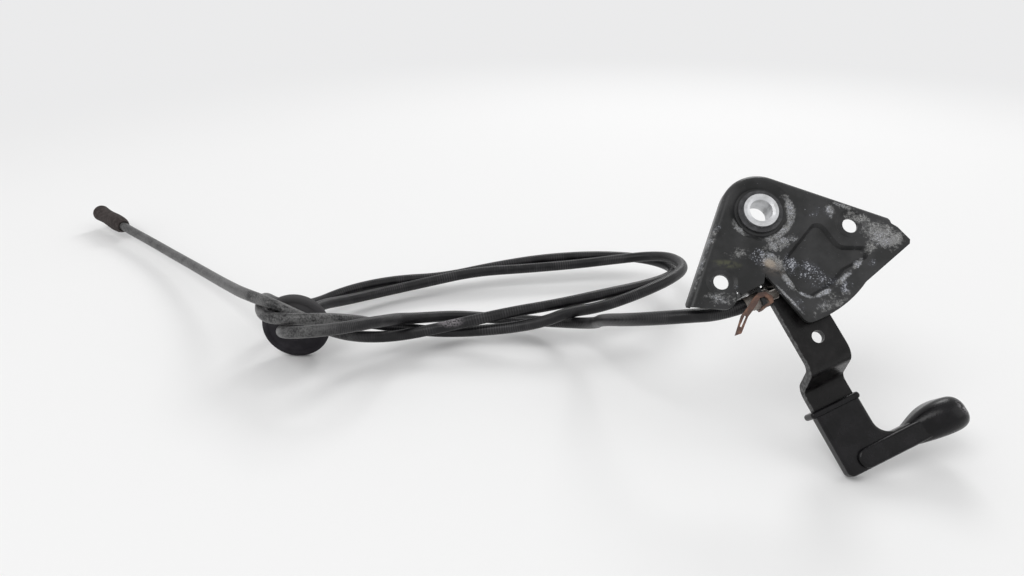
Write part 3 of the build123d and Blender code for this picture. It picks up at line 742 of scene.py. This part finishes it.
# the boot on the cable's far end
boot = {
    "over": 29.0,  # how far the cable goes into it
    "steps": 64,
    "profile": [
        (3.55, 28.8), (3.55, 14.0), (3.55, 0.6), (3.9, 0.1), (4.5, 0.0), (4.9, 0.3), (5.4, 1.8), (6.0, 3.8),
        (6.4, 5.6), (6.7, 9.0), (6.8, 14.0), (6.7, 19.0), (6.4, 24.0), (6.2, 29.0), (6.2, 34.0),
        (6.4, 39.0), (6.7, 43.0), (6.8, 44.6), (6.6, 45.6), (6.1, 46.0), (5.4, 45.9), (5.1, 45.2),
        (5.0, 43.0), (4.6, 42.6), (2.4, 42.4), (0.0, 42.4),
    ],
}
bootWay = (Vector(cableRoute[-1]) - Vector(cableRoute[-2])).normalized()
bootFrom = Vector(cableRoute[-1]) - bootWay * (boot["over"] / 1000)
endBoot = turnedPiece("endBoot", boot["profile"], bootFrom, bootWay, boot["steps"])
useFinish(endBoot, makeSoft("bootRubber"))

# the pull wire between the end fitting and the lever
wire = {
    "place": (-0.0015, -0.0425, -0.011),  # across, up and out of the plate
    "turn": 21,
    "from": -0.0079,  # both ends, along the line from that place
    "to": 0.0204,
    "radius": 0.0009,
    "sides": 16,
    "rings": 14,
    "smooth": 40,
}


def onEnd(along):  # a point on the line through the cable's end and the nipple
    across, up, out = wire["place"]
    turn = math.radians(wire["turn"])
    return onPlate(across + math.cos(turn) * along, up + math.sin(turn) * along, out)


wireFrom = onEnd(wire["from"])
wireTo = onEnd(wire["to"])
wireWay = (wireTo - wireFrom).normalized()
bpy.ops.mesh.primitive_cylinder_add(
    vertices=wire["sides"], radius=wire["radius"], depth=(wireTo - wireFrom).length,
    location=(wireFrom + wireTo) / 2, rotation=wireWay.to_track_quat("Z", "Y").to_euler())
pullWire = bpy.context.object
settle(pullWire, "pullWire")
bpy.ops.object.mode_set(mode="EDIT")
for i in range(1, wire["rings"]):
    bpy.ops.mesh.select_all(action="SELECT")
    bpy.ops.mesh.bisect(plane_co=wireFrom.lerp(wireTo, i / wire["rings"]), plane_no=wireWay)
bpy.ops.object.mode_set(mode="OBJECT")
bpy.ops.object.shade_smooth_by_angle(angle=math.radians(wire["smooth"]))
useFinish(pullWire, makeMetal("wireSteel"))
print("grommet, boot and wire made")

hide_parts("cable_lead", "cable_coil", "cable_tail")
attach(cableLine, "bracket")
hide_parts("firewall_grommet")
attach(grommetDisc, "bracket")
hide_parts("end_boot")
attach(endBoot, "bracket")
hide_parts("inner_wire")
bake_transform(pullWire)

# the floor runs on into a pale background; away from the object it looks the same in any light
table = {
    "top": -0.1157,
    "across": 8,
    "colour": (0.86, 0.86, 0.86),
    "rough": 0.85,
    "farColour": (0.83, 0.83, 0.835),
    "farSpan": (0.65, 1.25),  # how far out the change begins and ends
}


def seenStraight(tree):  # rays that show the background: to the camera, and off or through the object
    ray = add(tree, "ShaderNodeLightPath").outputs
    seen = larger(tree, ray["Is Camera Ray"], ray["Is Glossy Ray"])
    return larger(tree, seen, ray["Is Transmission Ray"])


def makeTable():
    finish, tree, shader = newFinish("paleTable")
    shader.inputs["Base Color"].default_value = (*table["colour"], 1)
    shader.inputs["Roughness"].default_value = table["rough"]
    glow = add(tree, "ShaderNodeEmission")
    glow.inputs["Color"].default_value = (*table["farColour"], 1)
    away = ramp(tree, lengthOf(tree, objectSpace(tree)), *table["farSpan"])
    share = times(tree, away, seenStraight(tree))
    joined = add(tree, "ShaderNodeMixShader", {0: share, 1: shader.outputs[0], 2: glow.outputs[0]})
    tree.links.new(joined.outputs[0], tree.nodes["Material Output"].inputs["Surface"])
    return finish


bpy.ops.mesh.primitive_plane_add(size=table["across"], location=(0, 0, table["top"]))
tableTop = bpy.context.object
tableTop.name = "tableTop"
useFinish(tableTop, makeTable())

# three soft lamps, and pale light from all round
lights = {
    "key": {"place": (-1.0, -0.9, 1.7), "size": 1.1, "power": 15},
    "fill": {"place": (1.4, -0.6, 1.1), "size": 1.4, "power": 4.5},
    "back": {"place": (0.35, 1.5, 1.15), "size": 0.7, "power": 9},
}
lightAim = Vector((0, 0, -0.05))
for title, light in lights.items():
    bpy.ops.object.light_add(type="AREA", location=light["place"])
    lamp = bpy.context.object
    lamp.name = title + "Light"
    lamp.data.size = light["size"]
    lamp.data.energy = light["power"]
    lamp.rotation_euler = (lightAim - Vector(light["place"])).to_track_quat("-Z", "Y").to_euler()

room = {"colour": (0.93, 0.93, 0.93), "light": 0.68, "shown": 0.9}
world = bpy.data.worlds.new("room")
scene.world = world
world.use_nodes = True
roomTree = world.node_tree
sky = roomTree.nodes["Background"]
sky.inputs["Color"].default_value = (*room["colour"], 1)
brighter = room["shown"] - room["light"]
strength = maths(roomTree, "MULTIPLY_ADD", seenStraight(roomTree), brighter, room["light"])
roomTree.links.new(strength, sky.inputs["Strength"])
print("table and lights set")
